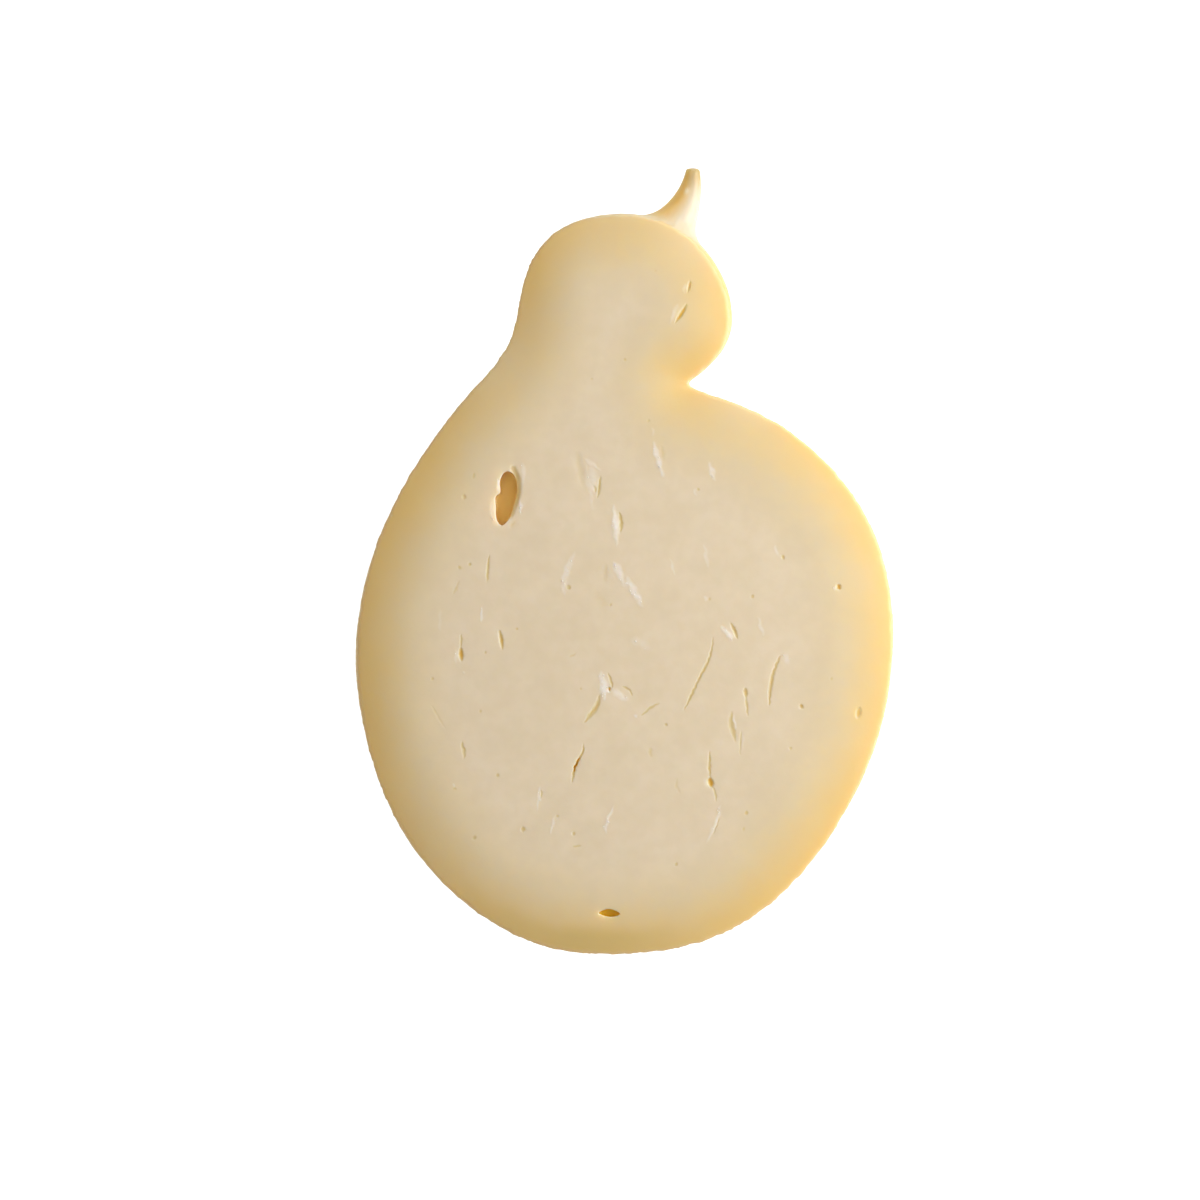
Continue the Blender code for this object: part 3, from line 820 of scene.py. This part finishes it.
def start_material(name):
    material = bpy.data.materials.new(name)
    material.use_nodes = True
    tree = material.node_tree
    shader = tree.nodes["Principled BSDF"]
    place = add_node(tree, "ShaderNodeTexCoord").outputs["Object"]
    return material, tree, shader, place


def attribute(tree, name):
    return add_node(tree, "ShaderNodeAttribute", attribute_name=name).outputs["Fac"]


CURD_SCATTER = (1.0, 0.82, 0.55)  # how far red, green and blue light spread in the curd
CURD_IOR = 1.42
GRAIN_STRENGTH = 0.3


def finish_curd(tree, shader, colour, depth, roughness, grain, grain_height):
    """Colour, depth in metres that light reaches, roughness and fine grain of a surface of curd."""
    tree.links.new(colour, shader.inputs["Base Color"])
    shader.inputs["Subsurface Weight"].default_value = 1.0
    shader.inputs["Subsurface Radius"].default_value = CURD_SCATTER
    shader.inputs["Subsurface Scale"].default_value = depth
    shader.inputs["Roughness"].default_value = roughness
    shader.inputs["IOR"].default_value = CURD_IOR
    settings = {"Height": grain, "Strength": GRAIN_STRENGTH, "Distance": grain_height}
    tree.links.new(add_node(tree, "ShaderNodeBump", settings).outputs[0], shader.inputs["Normal"])


PASTE = linear(231, 216, 191)
PASTE_TOWARDS_RIM = linear(227, 208, 167)
PASTE_RIM = linear(229, 195, 114)
PASTE_EDGE = linear(227, 191, 148)
PASTE_FOOT = linear(215, 189, 125)
PASTE_MOTTLE = linear(222, 206, 176)
HOLLOW = linear(222, 204, 157)
HOLLOW_DEEP = linear(228, 190, 82)
BUBBLE = linear(245, 216, 146)
BUBBLE_OCHRE = linear(253, 222, 90)
# Pale torn curd, also used as painted highlight on the lit edges of eyes and slits.
PALE_CURD_AND_HIGHLIGHT = linear(240, 233, 224)
PASTE_DEPTH, PASTE_ROUGHNESS = 4 * MM, 0.5
PASTE_GRAIN, PASTE_GRAIN_HEIGHT = 0.9, 0.06 * MM

# Where each colour starts and where it is full, in millimetres from the rim, of a hollow's depth or
# of a bubble's.
TOWARDS_RIM_BAND = (28, 9)
RIM_COLOUR_BAND = (15.5, 0)
FOOT_BAND = (8, 3)
EDGE_BAND = (1.2, 0.0)
HOLLOW_BAND = (0.0, 0.12)
HOLLOW_DEEP_BAND = (0.15, 0.42)
BUBBLE_BAND = (0.0, 0.6)
BAND_SWELLS, BAND_STRAYS = 22, 1.2  # how the bands beside the rim wander
MOTTLE_SIZES, MOTTLE_SHARE = (9, 3.5), 0.35
TORN_GRAIN, TORN_LEAST = 1.1, 0.65  # grain of the torn curls, and the least of their paleness
TORN_SPAN = (0.25, 0.6)


def paste_material():
    material, tree, shader, place = start_material("cheese_paste")
    from_rim, hollow_and_dip_shade = attribute(tree, "from_rim"), attribute(tree, "hollow_and_dip_shade")
    stray = spread(tree, noise(tree, place, BAND_SWELLS), *NOISE_SPAN, -BAND_STRAYS, BAND_STRAYS)
    band = math_node(tree, "ADD", from_rim, stray)
    colour = blend(tree, spread(tree, band, *TOWARDS_RIM_BAND), PASTE, PASTE_TOWARDS_RIM)
    for size in MOTTLE_SIZES:
        mottle = spread(tree, noise(tree, place, size), *NOISE_SPAN, 0.0, MOTTLE_SHARE)
        colour = blend(tree, mottle, colour, PASTE_MOTTLE)
    dryness = attribute(tree, "dry")
    dry_band = math_node(tree, "MULTIPLY", spread(tree, band, *RIM_COLOUR_BAND), dryness)
    colour = blend(tree, dry_band, colour, PASTE_RIM)
    foot_band = math_node(tree, "MULTIPLY", spread(tree, band, *FOOT_BAND), attribute(tree, "foot"))
    colour = blend(tree, foot_band, colour, PASTE_FOOT)
    edge = math_node(tree, "MULTIPLY", spread(tree, from_rim, *EDGE_BAND), dryness)
    colour = blend(tree, edge, colour, PASTE_EDGE)
    # Ochre in the hollows, and painted shade in the dips.
    colour = blend(tree, spread(tree, hollow_and_dip_shade, *HOLLOW_BAND), colour, HOLLOW)
    colour = blend(tree, spread(tree, hollow_and_dip_shade, *HOLLOW_DEEP_BAND), colour, HOLLOW_DEEP)
    inside_bubble = blend(tree, attribute(tree, "ochre"), BUBBLE, BUBBLE_OCHRE)
    colour = blend(tree, spread(tree, attribute(tree, "bubble"), *BUBBLE_BAND), colour, inside_bubble)
    # The curls' pale curd, in part painted highlight.
    torn = spread(tree, noise(tree, place, TORN_GRAIN, detail=3), *TORN_SPAN, TORN_LEAST, 1.0)
    colour = blend(tree, math_node(tree, "MULTIPLY", attribute(tree, "curl_and_highlight"), torn), colour, PALE_CURD_AND_HIGHLIGHT)
    grain = noise(tree, place, PASTE_GRAIN, detail=3)
    finish_curd(tree, shader, colour, PASTE_DEPTH, PASTE_ROUGHNESS, grain, PASTE_GRAIN_HEIGHT)
    return material


RIND_DARK = linear(222, 189, 122)
RIND_PALE = linear(232, 207, 152)
RIND_TIP = linear(216, 207, 189)
# Ochre painted shade on the tip's left flank, away from the lamp.
RIND_SHADED_FLANK = linear(239, 209, 132)
RIND_NIPPED = linear(178, 158, 112)
RIND_PATCHES = 22  # size of its lighter and darker patches
PATCH_SPAN = (0.35, 0.65)
RIND_DEPTH, RIND_ROUGHNESS = 8 * MM, 0.42
RIND_GRAIN, RIND_GRAIN_HEIGHT = 1.6, 0.15 * MM


def rind_material():
    material, tree, shader, place = start_material("cheese_rind")
    patches = spread(tree, noise(tree, place, RIND_PATCHES, detail=3), *PATCH_SPAN)
    colour = blend(tree, patches, RIND_DARK, RIND_PALE)
    colour = blend(tree, attribute(tree, "drawn"), colour, RIND_TIP)
    # Painted shade down the tip's left flank.
    colour = blend(tree, attribute(tree, "shaded_flank"), colour, RIND_SHADED_FLANK)
    colour = blend(tree, attribute(tree, "nipped"), colour, RIND_NIPPED)
    # Painted highlight on the tip's front.
    colour = blend(tree, attribute(tree, "painted_highlight"), colour, PALE_CURD_AND_HIGHLIGHT)
    grain = noise(tree, place, RIND_GRAIN, detail=4)
    finish_curd(tree, shader, colour, RIND_DEPTH, RIND_ROUGHNESS, grain, RIND_GRAIN_HEIGHT)
    return material


RELIEF = {
    "Swell size": 26 * MM, "Swell height": 1.0 * MM,
    "Dimple size": 7 * MM, "Dimple height": 0.25 * MM,
    "Furrow size": 3.2 * MM, "Furrow height": 0.16 * MM,
    "Face wave size": 15 * MM, "Face wave height": 0.28 * MM,
    "Knife line size": 1.5 * MM, "Knife line height": 0.03 * MM,
    "Torn size": 0.8 * MM, "Torn height": 0.14 * MM,
}

# Each kind of relief, the attribute that says where it shows, its seed, and its closeness along each
# axis, where less than 1 draws it out.
WAVES = (
    ("Swell", "rind", 3.0, (1, 1, 1)),
    ("Dimple", "rind", 5.0, (1, 1, 1)),
    ("Furrow", "rind", 7.0, (1, 0.12, 1)),
    ("Face wave", "face_wave", 9.0, (1, 1, 1)),
    ("Knife line", "face_wave", 10.0, (0.04, 1, 1)),
    ("Torn", "torn", 11.0, (1, 1, 1)),
)


def start_nodes(name, sizes, materials):
    """A Geometry Nodes tree with inputs of these names, and the inputs' sockets inside it."""
    tree = bpy.data.node_groups.new(name, "GeometryNodeTree")
    tree.interface.new_socket("Geometry", in_out="INPUT", socket_type="NodeSocketGeometry")
    tree.interface.new_socket("Geometry", in_out="OUTPUT", socket_type="NodeSocketGeometry")
    for each in sizes:
        tree.interface.new_socket(each, in_out="INPUT", socket_type="NodeSocketFloat")
    for each in materials:
        tree.interface.new_socket(each, in_out="INPUT", socket_type="NodeSocketMaterial")
    return tree, tree.nodes.new("NodeGroupInput").outputs


def relief_tree():
    """Geometry Nodes that swell and furrow the rind, wave the cut face and roughen its torn curd."""
    tree, given = start_nodes("ripened_relief", RELIEF, ("Paste", "Rind"))
    place = add_node(tree, "GeometryNodeInputPosition").outputs[0]

    def named(name, kind="FLOAT"):
        return add_node(tree, "GeometryNodeInputNamedAttribute", {"Name": name}, data_type=kind).outputs[0]

    def waves(kind, where, seed, closeness):
        drawn = add_node(tree, "ShaderNodeVectorMath", {0: place, 1: closeness}, operation="MULTIPLY")
        scale = math_node(tree, "DIVIDE", 1.0, given[kind + " size"])
        settings = {"Vector": drawn.outputs[0], "W": seed, "Scale": scale, "Detail": 1.0}
        texture = add_node(tree, "ShaderNodeTexNoise", settings, noise_dimensions="4D").outputs[0]
        centred = math_node(tree, "SUBTRACT", texture, 0.5)
        height = math_node(tree, "MULTIPLY", centred, given[kind + " height"])
        return math_node(tree, "MULTIPLY", height, named(where))

    total = 0.0
    for each in WAVES:
        total = math_node(tree, "ADD", total, waves(*each))
    normal = add_node(tree, "GeometryNodeInputNormal").outputs[0]
    offset = add_node(tree, "ShaderNodeVectorMath", {0: normal, "Scale": total}, operation="SCALE")
    settings = {"Geometry": given["Geometry"], "Offset": offset.outputs[0]}
    moved = add_node(tree, "GeometryNodeSetPosition", settings).outputs[0]
    settings = {"Geometry": moved, "Material": given["Rind"]}
    painted = add_node(tree, "GeometryNodeSetMaterial", settings).outputs[0]
    settings = {"Geometry": painted, "Selection": named("cut_face", "BOOLEAN"), "Material": given["Paste"]}
    painted = add_node(tree, "GeometryNodeSetMaterial", settings).outputs[0]
    done = add_node(tree, "GeometryNodeRealizeInstances", {"Geometry": painted}).outputs[0]
    tree.links.new(done, tree.nodes.new("NodeGroupOutput").inputs[0])
    return tree


def apply_nodes(obj, tree, values):
    """Runs the tree on the object with its inputs set, and leaves the result as a plain mesh."""
    modifier = obj.modifiers.new(tree.name, "NODES")
    modifier.node_group = tree
    for item in tree.interface.items_tree:
        if item.in_out == "INPUT" and item.name in values:
            modifier[item.identifier] = values[item.name]
    graph = bpy.context.evaluated_depsgraph_get()
    made = bpy.data.meshes.new_from_object(obj.evaluated_get(graph))
    obj.modifiers.remove(modifier)
    obj.data = made


apply_nodes(cheese, relief_tree(), {**RELIEF, "Paste": paste_material(), "Rind": rind_material()})
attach(cheese, "root")
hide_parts("caciocavallo_half")


# The curd crumbs. Where the knife tore the curd, crumbs as fine as coarse flour stay stuck to the
# curls. They are the same paste, pressed lightly into the face.

CRUMBS = {"Crumb density": 8e5, "Crumb smallest": 0.08 * MM, "Crumb largest": 0.24 * MM}
CRUMB_SEED = 4
CRUMB_FACES = 80
CRUMB_ROUGHNESS = 0.6


def crumb_material():
    material, tree, shader, place = start_material("cheese_crumb")
    shader.inputs["Base Color"].default_value = PALE_CURD_AND_HIGHLIGHT
    shader.inputs["Roughness"].default_value = CRUMB_ROUGHNESS
    return material


def crumbs_tree():
    """Geometry Nodes that scatter crumbs over the mesh where its curls are, and leave only the crumbs."""
    tree, given = start_nodes("scattered_crumbs", CRUMBS, ("Paste",))
    curl_and_highlight = add_node(tree, "GeometryNodeInputNamedAttribute", {"Name": "curl_and_highlight"}, data_type="FLOAT").outputs[0]
    density = math_node(tree, "MULTIPLY", given["Crumb density"], curl_and_highlight)
    spots = add_node(tree, "GeometryNodeDistributePointsOnFaces",
                     {"Mesh": given["Geometry"], "Density": density, "Seed": CRUMB_SEED}).outputs["Points"]
    crumb = add_node(tree, "GeometryNodeMeshIcoSphere", {"Radius": 1.0, "Subdivisions": 2}).outputs["Mesh"]
    size = add_node(tree, "FunctionNodeRandomValue", {"Seed": CRUMB_SEED}, data_type="FLOAT_VECTOR")
    turn = add_node(tree, "FunctionNodeRandomValue", {"Seed": CRUMB_SEED + 1, 1: (math.pi,) * 3},
                    data_type="FLOAT_VECTOR")
    for socket, name in ((size.inputs[0], "Crumb smallest"), (size.inputs[1], "Crumb largest")):
        tree.links.new(given[name], socket)
    placed = add_node(tree, "GeometryNodeInstanceOnPoints", {"Points": spots, "Instance": crumb,
                      "Rotation": turn.outputs[0], "Scale": size.outputs[0]}).outputs[0]
    real = add_node(tree, "GeometryNodeRealizeInstances", {"Geometry": placed}).outputs[0]
    settings = {"Geometry": real, "Material": given["Paste"]}
    painted = add_node(tree, "GeometryNodeSetMaterial", settings).outputs[0]
    tree.links.new(painted, tree.nodes.new("NodeGroupOutput").inputs[0])
    return tree


crumbs = new_object("curd_crumbs", cheese.data.copy())
apply_nodes(crumbs, crumbs_tree(), {**CRUMBS, "Paste": crumb_material()})
print("crumbs", len(crumbs.data.polygons) // CRUMB_FACES)
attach(crumbs, "root")


# The stage: a pale table, a large soft lamp low on the right, an even pale room, and the camera
# straight above the cut face, as far off as gives the photo's frame.

FRAME_WIDTH = 321.3 * MM
LENS, SENSOR = 100.0, 36.0
FRAME_CENTRE = (-6.5 * MM, -10.2 * MM)
TABLE_COLOUR, TABLE_ROUGHNESS = (0.35, 0.35, 0.35, 1), 0.8
TABLE_SIZE = 2.0
TABLE_GLOW, TABLE_WHITE = 0.6, 1.0  # what the table gives to the cheese, and to the camera
ROOM_COLOUR, ROOM_LIGHT = (1.0, 0.99, 0.97, 1), 0.413
WHITE = (1, 1, 1, 1)

table = new_object("table", bpy.data.meshes.new("table"))
square = bmesh.new()
bmesh.ops.create_grid(square, x_segments=1, y_segments=1, size=TABLE_SIZE)
square.to_mesh(table.data)
square.free()
surface, tree, shader, _ = start_material("table_surface")
shader.inputs["Base Color"].default_value = TABLE_COLOUR
shader.inputs["Roughness"].default_value = TABLE_ROUGHNESS
shader.inputs["Emission Color"].default_value = WHITE
camera_ray = add_node(tree, "ShaderNodeLightPath").outputs["Is Camera Ray"]
tree.links.new(spread(tree, camera_ray, 0, 1, TABLE_GLOW, TABLE_WHITE), shader.inputs["Emission Strength"])
table.data.materials.append(surface)

world = bpy.data.worlds.new("room")
bpy.context.scene.world = world
world.use_nodes = True
tree = world.node_tree
room = tree.nodes["Background"]
room.inputs["Color"].default_value = ROOM_COLOUR
room.inputs["Strength"].default_value = ROOM_LIGHT
seen = add_node(tree, "ShaderNodeBackground", {"Color": WHITE, "Strength": 1.0}).outputs[0]
camera_ray = add_node(tree, "ShaderNodeLightPath").outputs["Is Camera Ray"]
mixed = add_node(tree, "ShaderNodeMixShader", {0: camera_ray, 1: room.outputs[0], 2: seen}).outputs[0]
tree.links.new(mixed, tree.nodes["World Output"].inputs["Surface"])

LAMP_DISTANCE, LAMP_SIZE, LAMP_POWER = 0.85, 0.4, 8.4
LAMP_UP, LAMP_TURN = math.radians(31), math.radians(13)
LAMP_COLOUR = (1.0, 0.985, 0.955)
lamp = bpy.data.lights.new("lamp", "AREA")
lamp.shape = "DISK"
lamp.size = LAMP_SIZE
lamp.energy = LAMP_POWER
lamp.color = LAMP_COLOUR
lamp_object = new_object("lamp", lamp)
level = math.cos(LAMP_UP)
direction = Vector((level * math.cos(LAMP_TURN), level * math.sin(LAMP_TURN), math.sin(LAMP_UP)))
lamp_object.location = Vector((0, 0, CUT_HEIGHT * MM)) + direction * LAMP_DISTANCE
lamp_object.rotation_euler = direction.to_track_quat("Z", "Y").to_euler()

camera = new_object("camera", bpy.data.cameras.new("camera"))
camera.data.lens = LENS
camera.data.sensor_width = SENSOR
camera.location = (*FRAME_CENTRE, CUT_HEIGHT * MM + FRAME_WIDTH * LENS / SENSOR)
bpy.context.scene.camera = camera
bpy.context.scene.view_settings.view_transform = "Standard"
